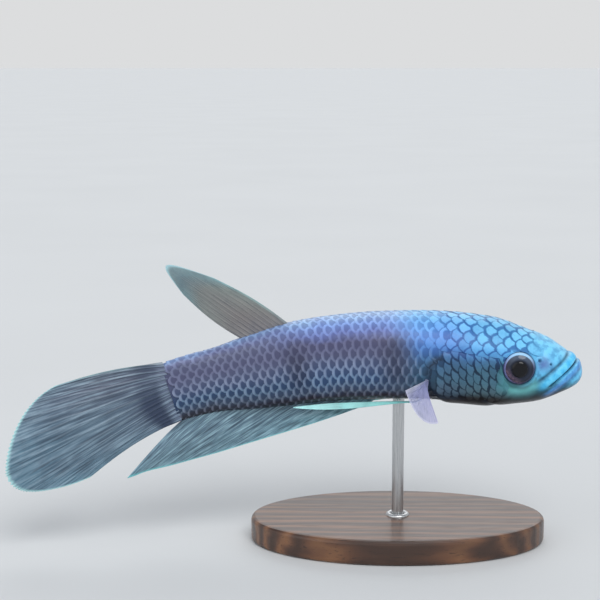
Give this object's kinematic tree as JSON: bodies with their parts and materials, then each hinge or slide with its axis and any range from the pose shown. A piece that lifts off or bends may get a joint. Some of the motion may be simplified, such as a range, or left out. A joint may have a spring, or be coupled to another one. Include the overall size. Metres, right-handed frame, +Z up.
{
  "type": "mouthbrooding betta fish, life-size model on a stand",
  "caption": "Slender betta fish in a swimming pose with fins spread, held by a rod over a flat oval base.",
  "frame": {"origin": "centre of the stand base's underside", "axes": "+X to the fish's head, +Z up, the right flank faces -Y"},
  "size_m": [0.1146, 0.036, 0.0573],
  "materials": {
    "skin": "wet scaly skin, slate blue and mauve with a pearly gloss, as cast and painted resin",
    "eye": "clear and wet, dark iris",
    "fin": "thin rayed membrane, blue grey, satin",
    "clear_fin": "thin translucent lilac membrane",
    "stand_wood": "dark walnut, satin varnish",
    "stand_steel": "drawn and brushed"
  },
  "bodies": {
    "root": {"head": "skin", "upper_jaw": "skin", "lower_jaw": "skin", "gill_cover_right": "skin", "gill_cover_left": "skin", "trunk_front": "skin", "trunk_rear": "skin", "tail_stalk": "skin", "eye_right": "eye", "eye_left": "eye", "tail_fin": "fin", "dorsal_fin": "fin", "anal_fin": "fin", "pelvic_fin_right": "fin", "pelvic_fin_left": "fin", "pectoral_fin_right": "clear_fin", "pectoral_fin_left": "clear_fin", "stand_base": "stand_wood", "stand_rod": "stand_steel"}
  },
  "joints": []
}
